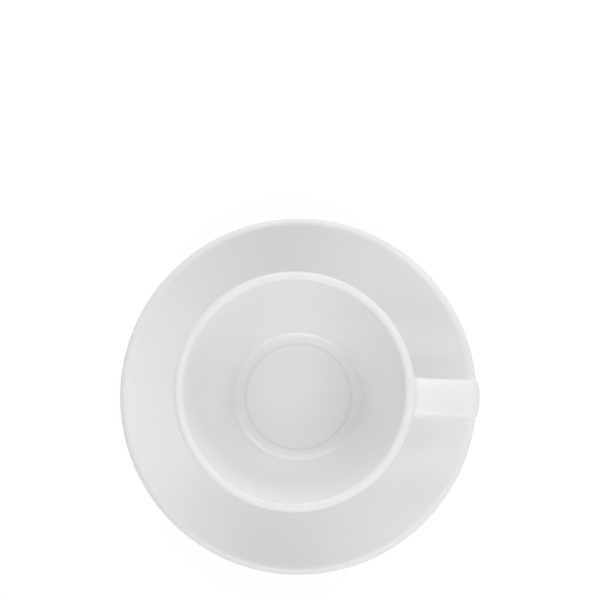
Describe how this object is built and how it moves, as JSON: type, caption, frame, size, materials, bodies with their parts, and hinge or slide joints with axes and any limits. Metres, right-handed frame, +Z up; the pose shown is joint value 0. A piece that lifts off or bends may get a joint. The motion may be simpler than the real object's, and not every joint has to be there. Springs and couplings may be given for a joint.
{
  "type": "espresso cup with saucer",
  "caption": "White glazed porcelain espresso cup with a conical body and a strap handle, standing on a dished saucer that it lifts off.",
  "frame": {"origin": "on the table, at the centre of the saucer, under its foot ring", "axes": "+Z up along the axis of the cup and the saucer, +X towards the cup's handle"},
  "size_m": [0.12, 0.12, 0.058],
  "materials": {
    "white_glaze": "gloss"
  },
  "bodies": {
    "saucer": {"saucer": "white_glaze"},
    "cup": {"cup_body": "white_glaze", "cup_handle": "white_glaze"}
  },
  "joints": [
    {"name": "cup_lift", "type": "slide", "parent": "saucer", "child": "cup", "axis": [0, 0, 1], "range_m": [0, 0.08]}
  ]
}
